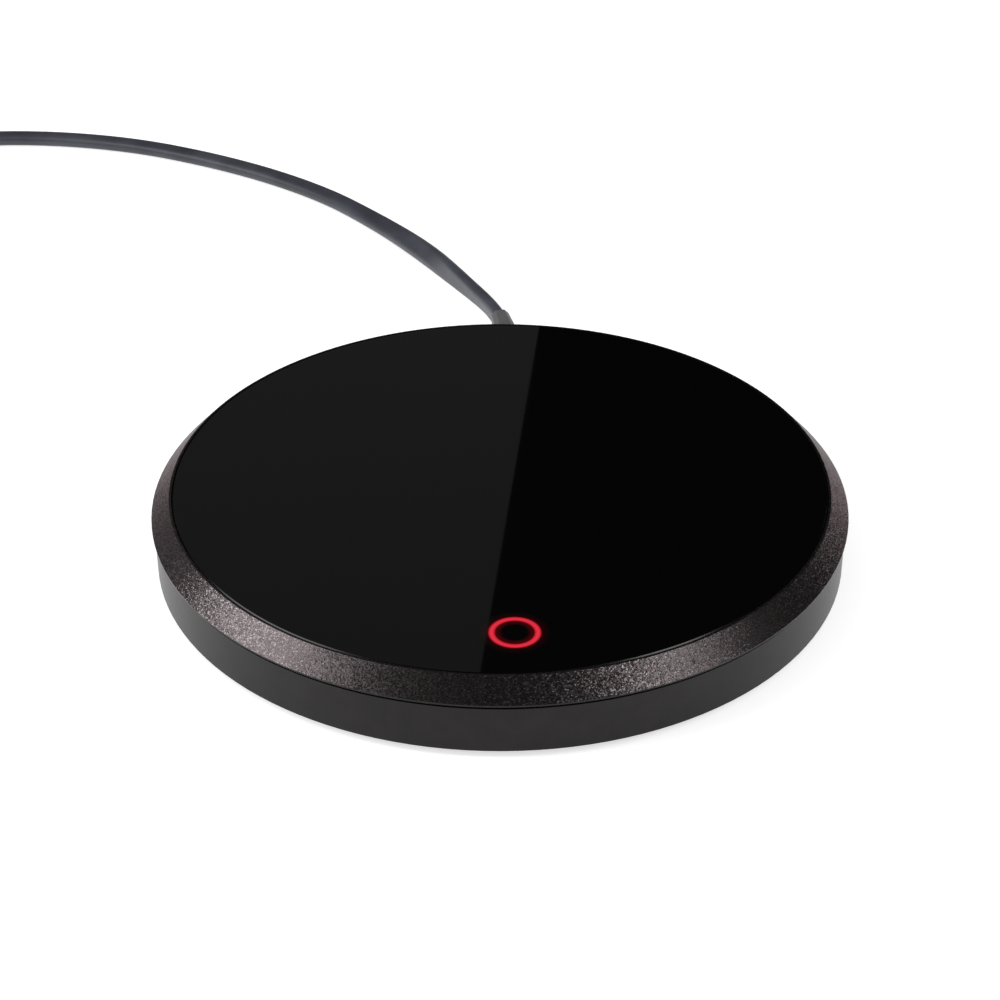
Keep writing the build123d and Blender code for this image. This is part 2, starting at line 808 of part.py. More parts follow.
with BuildPart() as strain_relief:
    for step in range(boot_sections):
        share = step / (boot_sections - 1)
        with BuildSketch(boot_plane(boot_length * share)) as section:
            Rectangle(
                boot_width + (boot_tip_width - boot_width) * share,
                boot_height + (boot_tip_height - boot_height) * share,
            )
            chamfer(
                section.vertices(),
                length=boot_corner + (boot_tip_corner - boot_corner) * share,
            )
    loft(ruled=True)
    with BuildSketch(boot_plane(0)) as section:
        Rectangle(boot_width, boot_height)
        chamfer(section.vertices(), length=boot_corner)
    extrude(amount=flange_back - wall_outer)
    with BuildSketch(Plane.XZ.offset(-flange_back)) as section:
        with Locations((exit_x, exit_height)):
            Rectangle(flange_width, boot_height)
        chamfer(section.vertices(), length=boot_corner)
    extrude(amount=flange_thickness)
    for groove in range(boot_grooves):
        with BuildSketch(boot_plane(groove_pitch * (groove + 1) - groove_width / 2)):
            Rectangle(2 * boot_width, 2 * boot_height)
            Rectangle(
                cord_thickness + 2 * groove_rib,
                cord_width + 2 * groove_rib,
                mode=Mode.SUBTRACT,
            )
        extrude(amount=groove_width, mode=Mode.SUBTRACT)
save(strain_relief, "strain_relief")

# ---------------------------------------------------------------- free cord
floor_line = floor_gap + cord_thickness / 2
coil_y = wall_outer + coil_back
coil_outer_turn = coil_radius + cord_width / 2
coil_low_line = coil_lift + cord_thickness / 2
boot_tip = boot_plane(boot_length)
first_corner = boot_tip.origin + boot_tip.z_dir * first_run

# corners between the boot and the coil: across, behind the base wall, height
open_corners = [
    (-7.4, 33.0, 5.4),
    (-17.3, 54.1, 3.4),
    (-28.6, 72.8, 1.7),
    (-44.2, 91.1, floor_line),
    (-68.0, 108.0, floor_line),
    (-98.0, 121.5, floor_line),
    (-132.0, 125.0, floor_line),
    (-161.5, 116.1, floor_line),
    (-181.5, 96.4, floor_line),
    (-190.3, 72.2, floor_line),
    (-192.0, 53.5, 1.5),
]
# corners between the coil and the plug: from the coil's middle, height
plug_corners = [
    (-28.9, -25.5, 5.2),
    (-26.6, -38.5, 2.0),
    (-22.6, -51.0, 1.5),
    (-18.6, -62.5, plug_thickness / 2),
]
coil_entry = 14.0           # behind the coil's middle
coil_leave = 13.0           # in front of the coil's middle
coil_leave_height = 7.2

cord_route = [(boot_tip.origin.X, boot_tip.origin.Y, exit_height)]
cord_route.append((first_corner.X, first_corner.Y, exit_height))
cord_route.extend([(x, wall_outer + back, height) for x, back, height in open_corners])
cord_route.append((coil_x - coil_outer_turn, coil_y + coil_entry, coil_low_line))

plug_route = [(coil_x - coil_outer_turn, coil_y - coil_leave, coil_leave_height)]
plug_route.extend([(coil_x + across, coil_y + back, height) for across, back, height in plug_corners])
plug_way = Vector(*plug_route[-1]) - Vector(*plug_route[-2])
plug_heading = Vector(plug_way.X, plug_way.Y, 0).normalized()
plug_start = Vector(*plug_route[-1]) + plug_heading * last_run
plug_route.append((plug_start.X, plug_start.Y, plug_start.Z))


def corner_radii(route):
    """Radii that give each corner the largest arc its two runs allow."""
    radii = []
    for before, corner, after in zip(route, route[1:], route[2:]):
        run_in = Vector(*corner) - Vector(*before)
        run_out = Vector(*after) - Vector(*corner)
        half_turn = math.radians(run_in.get_angle(run_out) / 2)
        radii.append(run_share * min(run_in.length, run_out.length) / math.tan(half_turn))
    return radii


def jacket_plane(place, heading, lean):
    """A cross-section plane of the flat cord, which lies level at a lean of 0 degrees."""
    level = Vector(heading.Y, -heading.X, 0).normalized()
    upright = level.cross(heading)
    broad = level * math.cos(math.radians(lean)) + upright * math.sin(math.radians(lean))
    return Plane(origin=place, x_dir=broad, z_dir=heading)


def jacket_section(plane):
    """The flat cord's cross-section on a plane."""
    with BuildSketch(plane) as outline:
        Rectangle(cord_width, cord_thickness)
        chamfer(outline.vertices(), length=cord_bevel)
    return outline.sketch


def rounded_route(route):
    """The route as one wire with an arc at each corner."""
    with BuildLine() as line:
        FilletPolyline(*route, radius=corner_radii(route))
    return line.wires()[0]


def flat_run(route):
    """The cord's solid along a route, its broad side level."""
    path = rounded_route(route)
    with BuildPart() as tube:
        sweep(jacket_section(jacket_plane(path @ 0, path % 0, 0)), path=path, is_frenet=False)
    return tube


def twisted_run(route):
    """The cord's solid along a route, on edge at its start and level at its end."""
    path = rounded_route(route)
    with BuildPart() as tube:
        sections = []
        for step in range(twist_sections + 1):
            share = step / twist_sections
            place = path.position_at(share)
            heading = path.tangent_at(share)
            sections.append(jacket_section(jacket_plane(place, heading, 90 - 90 * share)))
        loft(sections, ruled=True)
    return tube


flat_start = Vector(*cord_route[twist_corners + 1]) + Vector(*cord_route[twist_corners + 2])
flat_start = flat_start / 2
flat_start = (flat_start.X, flat_start.Y, flat_start.Z)
with BuildPart() as mains_cord:
    add(twisted_run([*cord_route[:twist_corners + 2], flat_start]).part)
    add(flat_run([flat_start, *cord_route[twist_corners + 2:]]).part)
save(mains_cord, "mains_cord")

plug_cord = flat_run(plug_route)
save(plug_cord, "plug_cord")

coil_width = coil_columns * cord_width + coil_slack
coil_height = coil_layers * cord_thickness + coil_slack
coil_middle = coil_lift + coil_height / 2

with BuildPart() as cord_coil:
    with BuildSketch(Plane.XZ.offset(-coil_y)) as section:
        with Locations((coil_x + coil_radius, coil_middle)):
            Rectangle(coil_width, coil_height)
        chamfer(section.vertices(), length=cord_bevel)
    revolve(axis=Axis((coil_x, coil_y, 0), (0, 0, 1)))
save(cord_coil, "cord_coil")

tie_inner_width = coil_width + 2 * tie_side_room
tie_inner_height = coil_height + 2 * tie_top_room
with BuildPart() as cord_tie:
    with BuildSketch(Plane.XZ.offset(-coil_y - tie_width / 2)):
        with Locations((coil_x + coil_radius, coil_middle)):
            RectangleRounded(
                tie_inner_width + 2 * tie_thickness,
                tie_inner_height + 2 * tie_thickness,
                cord_bevel + tie_thickness,
            )
            RectangleRounded(
                tie_inner_width,
                tie_inner_height,
                cord_bevel,
                mode=Mode.SUBTRACT,
            )
    extrude(amount=tie_width)
save(cord_tie, "cord_tie")

# ---------------------------------------------------------------- plug
plug_side = Vector(-plug_heading.Y, plug_heading.X, 0)


def plug_plane(distance):
    """The plug's cross-section plane, X across the blades and Y up."""
    return Plane(
        origin=plug_start + plug_heading * distance,
        x_dir=plug_side,
        z_dir=plug_heading,
    )


neck_width = cord_width + 2 * neck_wall
neck_height = cord_thickness + 2 * neck_wall
shoulder_end = neck_length + shoulder_length
with BuildPart() as plug_body:
    with BuildSketch(plug_plane(0)) as section:
        Rectangle(neck_width, neck_height)
        chamfer(section.vertices(), length=neck_corner)
    with BuildSketch(plug_plane(neck_length)) as section:
        Rectangle(neck_width + 2 * neck_flare, neck_height + neck_flare)
        chamfer(section.vertices(), length=neck_corner)
    with BuildSketch(plug_plane(shoulder_end)):
        RectangleRounded(plug_width, plug_thickness, plug_corner)
    loft(ruled=True)
    with BuildSketch(plug_plane(shoulder_end)):
        RectangleRounded(plug_width, plug_thickness, plug_corner)
    extrude(amount=plug_length - shoulder_end)
    front_face = plug_body.faces().sort_by(Axis(plug_start, plug_heading))[-1]
    chamfer(front_face.edges(), length=plug_edge)
save(plug_body, "plug_body")

with BuildPart() as plug_blades:
    with BuildSketch(plug_plane(plug_length)):
        with Locations((-blade_spacing / 2, 0), (blade_spacing / 2, 0)):
            Rectangle(blade_thickness, blade_width)
    extrude(amount=blade_length)
    tips = plug_blades.faces().group_by(Axis(plug_start, plug_heading))[-1]
    chamfer(tips.edges(), length=blade_thickness / 4)
save(plug_blades, "plug_blades")
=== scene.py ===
"""Looks of the electric mug warmer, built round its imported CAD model. Lengths are in metres."""

import math

import bmesh
import bpy
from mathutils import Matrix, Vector


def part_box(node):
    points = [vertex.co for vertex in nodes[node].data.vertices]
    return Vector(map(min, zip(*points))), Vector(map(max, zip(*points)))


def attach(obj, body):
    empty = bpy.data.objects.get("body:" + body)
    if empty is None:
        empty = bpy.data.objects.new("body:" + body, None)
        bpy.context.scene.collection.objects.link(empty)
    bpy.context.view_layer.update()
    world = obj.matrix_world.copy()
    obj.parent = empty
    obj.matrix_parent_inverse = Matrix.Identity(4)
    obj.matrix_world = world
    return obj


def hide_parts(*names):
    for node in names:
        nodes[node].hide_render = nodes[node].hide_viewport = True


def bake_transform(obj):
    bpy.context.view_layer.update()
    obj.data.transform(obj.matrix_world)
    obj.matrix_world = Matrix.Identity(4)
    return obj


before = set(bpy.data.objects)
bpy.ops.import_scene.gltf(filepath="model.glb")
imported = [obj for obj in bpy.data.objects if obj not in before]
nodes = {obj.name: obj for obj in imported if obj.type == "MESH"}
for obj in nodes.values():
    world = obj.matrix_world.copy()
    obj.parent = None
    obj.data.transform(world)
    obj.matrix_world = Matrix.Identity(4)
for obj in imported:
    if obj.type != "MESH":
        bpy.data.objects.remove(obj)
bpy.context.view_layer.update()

MM = 0.001

# ---------------------------------------------------------------- sizes: camera
camera_distance = 376.1 * MM    # in front of the middle of the warmer
camera_height = 248.3 * MM
camera_pitch = math.radians(32.32)
camera_lens = 85.2              # millimetres
sensor_width = 36.0             # millimetres
camera_clip = 10.0 * MM         # nothing nearer is seen

# ---------------------------------------------------------------- sizes: cord
cord_width = 4.9 * MM
cord_thickness = 2.8 * MM

# The same points as the CAD route in millimetres, and how far the flat cord
# leans there: 90 degrees is on edge, 0 is level
cord_route = [
    (0.0, 79.39, 6.1, 92),
    (-1.06, 84.27, 6.1, 108),
    (-7.4, 97.5, 5.4, 98),
    (-17.3, 118.6, 3.4, 38),
    (-28.6, 137.3, 1.7, 4),
    (-44.2, 155.6, 1.45, 0),
    (-68.0, 172.5, 1.45, 0),
    (-98.0, 186.0, 1.45, 0),
    (-132.0, 189.5, 1.45, 0),
    (-161.5, 180.6, 1.45, 0),
    (-181.5, 160.9, 1.45, 0),
    (-190.3, 136.7, 1.45, 0),
    (-192.0, 118.0, 1.5, 0),
    (-191.45, 106.0, 2.0, 0),
]
plug_route = [
    (-191.45, 79.0, 7.2, 0),
    (-190.9, 66.5, 5.2, 0),
    (-188.6, 53.5, 2.0, 0),
    (-184.6, 41.0, 1.5, 0),
    (-180.6, 29.5, 5.6, 0),
    (-177.15, 19.6, 5.6, 0),
]

# ---------------------------------------------------------------- sizes: coil and its tie
coil_centre = (-162.0 * MM, 92.0 * MM)
coil_radius = 27.0 * MM
coil_lift = 0.6 * MM
coil_layers = 3
# Column (0 inner, 1 outer) and layer that each turn lies in
turn_slots = [(1, 0), (0, 0), (0, 1), (1, 1), (1, 2)]
points_per_turn = 16
crossing_share = 0.25           # part of a turn in which it moves over to the next slot
tie_width = 6.0 * MM
tie_thickness = 0.5 * MM
tie_room = 0.05 * MM            # between the strap and the turns' flats
tie_side_room = 0.2 * MM        # more room at the sides, because the turns bend under the strap

# ---------------------------------------------------------------- sizes: lit ring in the glass
glass_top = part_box("glass_plate")[1][2]
guide_low, guide_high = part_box("light_guide")
ring_centre = (
    (guide_low[0] + guide_high[0]) / 2,
    (guide_low[1] + guide_high[1]) / 2,
)
ring_radius = 4.45 * MM         # outer edge of the bright line
ring_line = 0.95 * MM           # width of the bright line
ring_glow_inner = 2.2 * MM
ring_glow_outer = 6.2 * MM
ring_soft = 0.032               # blur of the line's edges, as a share of the glow's width
ring_proud = 0.01 * MM

# ---------------------------------------------------------------- sizes: stage, lamps and world
floor_side = 8.0
floor_lift = 0.64               # white added to the floor for the eye and mirrors alone
world_light = 0.4
ceiling_starts = 0.08           # height of a unit direction
ceiling_light = 0.0
card_distance = 0.6             # behind the warmer's middle
card_light = 0.1
card_left = -1.4
card_low, card_high = 0.30, 0.70
card_right_low, card_right_high = 18.8 * MM, -38.2 * MM


def add_object(name, data):
    """A new object in the scene, with this mesh, curve, lamp or camera."""
    item = bpy.data.objects.new(name, data)
    bpy.context.collection.objects.link(item)
    return item


def add_camera():
    data = bpy.data.cameras.new("camera")
    data.lens = camera_lens
    data.sensor_width = sensor_width
    data.clip_start = camera_clip
    camera = add_object("camera", data)
    camera.location = (0.0, -camera_distance, camera_height)
    camera.rotation_euler = (math.pi / 2 - camera_pitch, 0.0, 0.0)
    bpy.context.scene.camera = camera


# ---------------------------------------------------------------- pieces
def in_metres(point):
    x, y, z, lean = point
    return (x * MM, y * MM, z * MM, lean)


def coil_points():
    """The put-away turns, counter-clockwise from the coil's left side."""
    points = []
    turns = len(turn_slots)
    for step in range(turns * points_per_turn + 1):
        turn = min(step // points_per_turn, turns - 1)
        share = step / points_per_turn - turn
        column, layer = turn_slots[turn]
        if turn + 1 < turns and share > 1 - crossing_share:
            blend = (share - 1 + crossing_share) / crossing_share
            column += (turn_slots[turn + 1][0] - column) * blend
            layer += (turn_slots[turn + 1][1] - layer) * blend
        angle = math.pi + 2 * math.pi * step / points_per_turn
        radius = coil_radius + (column - 0.5) * cord_width
        points.append((
            coil_centre[0] + radius * math.cos(angle),
            coil_centre[1] + radius * math.sin(angle),
            coil_lift + (layer + 0.5) * cord_thickness,
            0.0,
        ))
    return points


def outline_round(corners, distance, arc_steps):
    """Points at this distance round a convex polygon, counter-clockwise like its corners."""
    points = []
    for place, (x, y) in enumerate(corners):
        before = corners[place - 1]
        after = corners[(place + 1) % len(corners)]
        start = math.atan2(y - before[1], x - before[0]) - math.pi / 2
        end = math.atan2(after[1] - y, after[0] - x) - math.pi / 2
        turn = (end - start) % (2 * math.pi)
        for step in range(arc_steps + 1):
            angle = start + turn * step / arc_steps
            points.append((x + distance * math.cos(angle), y + distance * math.sin(angle)))
    return points


def cord_section():
    """The jacket's cross-section: two flats joined by half circles, as a closed curve."""
    data = bpy.data.curves.new("cord_section", "CURVE")
    data.dimensions = "2D"
    width, thickness = cord_width / MM, cord_thickness / MM
    middle = (width - thickness) / 2
    outline = outline_round([(middle, 0.0), (-middle, 0.0)], thickness / 2, arc_steps=12)
    spline = data.splines.new("POLY")
    spline.points.add(len(outline) - 1)
    for point, (x, y) in zip(spline.points, outline):
        point.co = (x, y, 0.0, 1.0)
    spline.use_cyclic_u = True
    return bpy.data.objects.new("cord_section", data)


def add_tie():
    """A strap drawn round the turns on the coil's right, where each lies in its own slot."""
    # The spline weighs three control points 1/8, 3/4, 1/8, so its turns are a little smaller
    smoothed = 0.75 + 0.25 * math.cos(2 * math.pi / points_per_turn)
    inner_turn = coil_centre[0] + (coil_radius - cord_width / 2) * smoothed
    outer_turn = coil_centre[0] + (coil_radius + cord_width / 2) * smoothed
    flat = (cord_width - cord_thickness) / 2
    low, middle, high = [
        coil_lift + (layer + 0.5) * cord_thickness for layer in range(coil_layers)
    ]
    corners = [
        (inner_turn - flat - tie_side_room, low),
        (outer_turn + flat + tie_side_room, low),
        (outer_turn + flat + tie_side_room, high),
        (outer_turn - flat, high),
        (inner_turn - flat - tie_side_room, middle),
    ]
    seat = cord_thickness / 2 + tie_room
    inside = outline_round(corners, seat, arc_steps=6)
    outside = outline_round(corners, seat + tie_thickness, arc_steps=6)
    front, back = coil_centre[1] - tie_width / 2, coil_centre[1] + tie_width / 2
    work = bmesh.new()
    loops = [
        [work.verts.new((x, y, z)) for x, z in outline]
        for y, outline in ((front, inside), (front, outside), (back, outside), (back, inside))
    ]
    for loop, next_loop in zip(loops, loops[1:] + loops[:1]):
        for place in range(len(loop)):
            work.faces.new((
                loop[place - 1], loop[place], next_loop[place], next_loop[place - 1],
            ))
    bmesh.ops.recalc_face_normals(work, faces=work.faces)
    mesh = bpy.data.meshes.new("drawn_tie")
    work.to_mesh(mesh)
    work.free()
    tie = add_object("drawn_tie", mesh)
    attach(tie, "base")
    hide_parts("cord_tie")
    return tie


def add_cord():
    """The whole flat cord on one smooth line, from the boot through the coil to the plug."""
    data = bpy.data.curves.new("flat_cord", "CURVE")
    data.dimensions = "3D"
    data.resolution_u = 8
    data.twist_mode = "Z_UP"
    data.bevel_mode = "OBJECT"
    data.bevel_object = cord_section()
    data.use_fill_caps = True
    route = [in_metres(point) for point in cord_route]
    route += coil_points()
    route += [in_metres(point) for point in plug_route]
    spline = data.splines.new("NURBS")
    spline.points.add(len(route) - 1)
    for point, (x, y, z, lean) in zip(spline.points, route):
        point.co = (x, y, z, 1.0)
        point.tilt = -math.radians(lean)
        point.radius = MM           # the section is drawn in millimetres
    spline.order_u = 3
    spline.use_endpoint_u = True
    cord = add_object("flat_cord", data)
    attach(cord, "base")
    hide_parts("mains_cord", "cord_coil", "plug_cord")
    return cord


def add_lit_ring(material):
    """A film-thin annulus on the glass, where the light guide shows through it."""
    around = 128
    across = 12
    work = bmesh.new()
    rings = []
    for step in range(across + 1):
        radius = ring_glow_inner + (ring_glow_outer - ring_glow_inner) * step / across
        rings.append([
            work.verts.new((
                ring_centre[0] + radius * math.cos(2 * math.pi * turn / around),
                ring_centre[1] + radius * math.sin(2 * math.pi * turn / around),
                glass_top + ring_proud,
            ))
            for turn in range(around)
        ])
    for inner, outer in zip(rings, rings[1:]):
        for turn in range(around):
            following = (turn + 1) % around
            work.faces.new((inner[turn], outer[turn], outer[following], inner[following]))
    mesh = bpy.data.meshes.new("lit_ring")
    work.to_mesh(mesh)
    work.free()
    mesh.materials.append(material)
    piece = add_object("lit_ring", mesh)
    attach(piece, "top")


def add_flexing_copy(name):
    """A copy of a CAD solid under a flexing_ name, in the solid's place; the solid itself is
    hidden.
    """
    source = nodes[name]
    piece = add_object("flexing_" + name, source.data.copy())
    piece.matrix_world = source.matrix_world
    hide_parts(name)
    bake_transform(piece)


# ---------------------------------------------------------------- shader building blocks
def new_material(name, colour, roughness, metallic=0.0, specular=0.5):
    """A material with its Principled shader, its tree and a texture coordinate node."""
    material = bpy.data.materials.new(name)
    material.use_nodes = True
    tree = material.node_tree
    shader = tree.nodes["Principled BSDF"]
    shader.inputs["Base Color"].default_value = (*colour, 1.0)
    shader.inputs["Roughness"].default_value = roughness
    shader.inputs["Metallic"].default_value = metallic
    shader.inputs["Specular IOR Level"].default_value = specular
    place = tree.nodes.new("ShaderNodeTexCoord")
    return material, tree, shader, place


def noise(tree, place, scale, detail=3.0):
    """Noise in the object's own coordinates; scale is in spots per metre."""
    texture = tree.nodes.new("ShaderNodeTexNoise")
    texture.inputs["Scale"].default_value = scale
    texture.inputs["Detail"].default_value = detail
    tree.links.new(place.outputs["Object"], texture.inputs["Vector"])
    return texture.outputs["Fac"]


def ramp(tree, source, stops):
    """A colour ramp on a grey value; stops holds (position, (r, g, b)) pairs."""
    node = tree.nodes.new("ShaderNodeValToRGB")
    tree.links.new(source, node.inputs["Fac"])
    elements = node.color_ramp.elements
    while len(elements) < len(stops):
        elements.new(0.5)
    for element, (position, colour) in zip(elements, stops):
        element.position = position
        element.color = (*colour, 1.0)
    return node.outputs["Color"]


def remap(tree, source, low, high, start=0.0, end=1.0):
    """Stretches a value's range from start..end to low..high."""
    node = tree.nodes.new("ShaderNodeMapRange")
    node.inputs["From Min"].default_value = start
    node.inputs["From Max"].default_value = end
    node.inputs["To Min"].default_value = low
    node.inputs["To Max"].default_value = high
    tree.links.new(source, node.inputs["Value"])
    return node.outputs["Result"]


def vector_math(tree, operation, first, second=None):
    """A vector operation on an output and, where there is one, another output or a vector."""
    node = tree.nodes.new("ShaderNodeVectorMath")
    node.operation = operation
    tree.links.new(first, node.inputs[0])
    if isinstance(second, bpy.types.NodeSocket):
        tree.links.new(second, node.inputs[1])
    elif second is not None:
        node.inputs[1].default_value = second
    return node


def larger(tree, first, second):
    """The larger of two values."""
    node = tree.nodes.new("ShaderNodeMath")
    node.operation = "MAXIMUM"
    tree.links.new(first, node.inputs[0])
    tree.links.new(second, node.inputs[1])
    return node.outputs["Value"]


def facing_up(tree, place):
    """How far a surface faces up: 1 on top, 0 on upright faces."""
    split = tree.nodes.new("ShaderNodeSeparateXYZ")
    tree.links.new(place.outputs["Normal"], split.inputs["Vector"])
    return split.outputs["Z"]


def bump(tree, shader, height, strength, distance):
    node = tree.nodes.new("ShaderNodeBump")
    node.inputs["Strength"].default_value = strength
    node.inputs["Distance"].default_value = distance
    tree.links.new(height, node.inputs["Height"])
    tree.links.new(node.outputs["Normal"], shader.inputs["Normal"])


# ---------------------------------------------------------------- finishes
glass_black = (0.0022, 0.0022, 0.0023)
glass_roughness = 0.03


def mottled(name, dark, light, roughness, grain, metallic=0.0, specular=0.5, bump_height=0.0):
    """A plain finish with slight colour and roughness variation and a fine grain."""
    clouds_per_grain = 1 / 6
    spread = 0.15
    material, tree, shader, place = new_material(name, light, roughness, metallic, specular)
    cloud = noise(tree, place, grain * clouds_per_grain, detail=2.0)
    tree.links.new(ramp(tree, cloud, [(0.3, dark), (0.7, light)]), shader.inputs["Base Color"])
    fine = noise(tree, place, grain)
    rough = remap(tree, fine, roughness * (1 - spread), min(roughness * (1 + spread), 1.0))
    tree.links.new(rough, shader.inputs["Roughness"])
    if bump_height:
        bump(tree, shader, fine, strength=0.5, distance=bump_height)
    return material


def flake_paint():
    """Dark paint with metallic flakes; upright faces get a painted shade, dark and not metallic,
    for the shadow along the bevel's edges.
    """
    flakes_per_metre = 5200.0
    flake_tilt = 0.18
    shaded_below, flakes_above = 0.15, 0.45      # how far the surface faces up
    painted_shade_colour = (0.012, 0.0115, 0.012, 1.0)
    material, tree, shader, place = new_material("flake_paint", (0.10, 0.092, 0.092), 0.34, 0.9)
    shader.inputs["Specular Tint"].default_value = (0.5, 0.465, 0.47, 1.0)

    flakes = tree.nodes.new("ShaderNodeTexVoronoi")
    flakes.inputs["Scale"].default_value = flakes_per_metre
    tree.links.new(place.outputs["Object"], flakes.inputs["Vector"])
    centred = vector_math(tree, "SUBTRACT", flakes.outputs["Color"], (0.5, 0.5, 0.5))
    tilt = vector_math(tree, "SCALE", centred.outputs["Vector"])
    tilt.inputs["Scale"].default_value = flake_tilt
    surface = tree.nodes.new("ShaderNodeNewGeometry")
    tipped = vector_math(tree, "ADD", surface.outputs["Normal"], tilt.outputs["Vector"])
    unit = vector_math(tree, "NORMALIZE", tipped.outputs["Vector"])
    tree.links.new(unit.outputs["Vector"], shader.inputs["Normal"])

    split = tree.nodes.new("ShaderNodeSeparateColor")
    tree.links.new(flakes.outputs["Color"], split.inputs["Color"])
    flake_colours = ramp(tree, split.outputs["Red"], [
        (0.0, (0.077, 0.066, 0.068)),
        (0.75, (0.127, 0.109, 0.112)),
        (1.0, (0.29, 0.255, 0.262)),
    ])
    # Painted shade: where a face looks up less, the flake colours and their metal give way to a
    # flat dark colour
    unshaded_share = remap(tree, facing_up(tree, place), 0.0, 1.0, shaded_below, flakes_above)
    coat = tree.nodes.new("ShaderNodeMix")
    coat.data_type = "RGBA"
    coat.inputs["A"].default_value = painted_shade_colour
    tree.links.new(unshaded_share, coat.inputs["Factor"])
    tree.links.new(flake_colours, coat.inputs["B"])
    tree.links.new(coat.outputs["Result"], shader.inputs["Base Color"])
    tree.links.new(remap(tree, unshaded_share, 0.0, 0.95), shader.inputs["Metallic"])
    rough = remap(tree, split.outputs["Green"], 0.25, 0.36)
    tree.links.new(rough, shader.inputs["Roughness"])
    return material


def black_glass():
    """Polished glass, black underneath, with a finely ground edge."""
    smears_per_metre = 35.0
    edge_roughness = 0.2
    edge_starts = 0.9               # how far the surface faces up there
    material, tree, shader, place = new_material("black_glass", glass_black, glass_roughness)
    shader.inputs["IOR"].default_value = 1.5
    smear = noise(tree, place, smears_per_metre, detail=4.0)
    polished = remap(tree, smear, 0.01, 0.035)
    ground = remap(tree, facing_up(tree, place), edge_roughness, 0.0, start=edge_starts)
    tree.links.new(larger(tree, polished, ground), shader.inputs["Roughness"])
    return material


def lit_ring_material():
    """The black glass over the light guide: a red line with a soft glow on both sides."""
    material, tree, shader, place = new_material("lit_ring", glass_black, glass_roughness)
    from_centre = vector_math(
        tree, "SUBTRACT", place.outputs["Object"], (*ring_centre, glass_top),
    )
    away = vector_math(tree, "LENGTH", from_centre.outputs["Vector"])
    share = remap(tree, away.outputs["Value"], 0.0, 1.0, ring_glow_inner, ring_glow_outer)
    span = ring_glow_outer - ring_glow_inner
    inner = (ring_radius - ring_line - ring_glow_inner) / span
    outer = (ring_radius - ring_glow_inner) / span
    glow = ramp(tree, share, [
        (0.0, (0.0, 0.0, 0.0)),
        (inner - 1.5 * ring_soft, (0.06, 0.0, 0.001)),
        (inner + ring_soft / 2, (0.62, 0.014, 0.034)),
        ((inner + outer) / 2, (0.80, 0.036, 0.062)),
        (outer - ring_soft, (0.62, 0.014, 0.034)),
        (outer + ring_soft, (0.04, 0.0, 0.001)),
        (outer + 3 * ring_soft, (0.008, 0.0, 0.0)),
        (1.0, (0.0, 0.0, 0.0)),
    ])
    tree.links.new(glow, shader.inputs["Emission Color"])
    shader.inputs["Emission Strength"].default_value = 1.0
    return material


def base_plastic():
    """Smooth dark moulding with a soft, slightly warm sheen and a faint grain."""
    material = mottled(
        "base_plastic", (0.011, 0.0105, 0.0108), (0.016, 0.015, 0.0155),
        roughness=0.34, grain=1800.0, specular=0.22, bump_height=0.01 * MM,
    )
    shader = material.node_tree.nodes["Principled BSDF"]
    shader.inputs["Specular Tint"].default_value = (1.0, 0.93, 0.96, 1.0)
    return material


def cord_vinyl_and_sheen():
    """Smooth dark vinyl; its base colour is lifted and tinted blue as a painted sheen, on top of
    the real sheen from its roughness.
    """
    clouds_per_metre = 120.0
    grains_per_metre = 900.0
    material, tree, shader, place = new_material("cord_vinyl_and_sheen", (0.035, 0.035, 0.042), 0.42)
    cloud = noise(tree, place, clouds_per_metre)
    # Painted sheen: these lighter, bluish base colours stand for light reflected off the cord
    sheen_tinted_colours = ramp(tree, cloud, [(0.35, (0.052, 0.055, 0.070)), (0.65, (0.080, 0.085, 0.106))])
    tree.links.new(sheen_tinted_colours, shader.inputs["Base Color"])
    fine = noise(tree, place, grains_per_metre)
    tree.links.new(remap(tree, fine, 0.36, 0.5), shader.inputs["Roughness"])
    bump(tree, shader, fine, strength=0.3, distance=0.03 * MM)
    return material


def assign(material, *names):
    """Gives CAD nodes this material in their own slots."""
    for name in names:
        data = nodes[name].data
        for index in range(len(data.materials)):
            data.materials[index] = material


def finish_outside(cord, tie):
    """What the eye can reach from outside."""
    assign(flake_paint(), "bezel_ring")
    assign(black_glass(), "glass_plate")
    assign(base_plastic(), "base_shell")
    vinyl = cord_vinyl_and_sheen()
    cord.data.materials.append(vinyl)
    assign(vinyl, "cord_tail")
    assign(
        # The boot's light grey is partly its own colour and partly a painted highlight for light
        # on its face
        mottled("boot_vinyl_and_highlight", (0.13, 0.13, 0.133), (0.17, 0.17, 0.174),
                roughness=0.5, grain=900.0, bump_height=0.03 * MM),
        "strain_relief",
    )
    assign(
        mottled("plug_vinyl", (0.022, 0.022, 0.025), (0.032, 0.032, 0.036),
                roughness=0.45, grain=900.0, bump_height=0.03 * MM),
        "plug_body",
    )
    assign(
        mottled("blade_brass", (0.62, 0.47, 0.20), (0.74, 0.58, 0.28),
                roughness=0.28, grain=900.0, metallic=1.0),
        "plug_blades",
    )
    assign(
        mottled("foot_rubber", (0.014, 0.014, 0.014), (0.022, 0.022, 0.022),
                roughness=0.85, grain=1500.0, bump_height=0.05 * MM),
        "foot_1", "foot_2", "foot_3", "foot_4",
    )
    tie.data.materials.append(
        mottled("tie_strap", (0.014, 0.014, 0.014), (0.024, 0.024, 0.024),
                roughness=0.5, grain=900.0),
    )


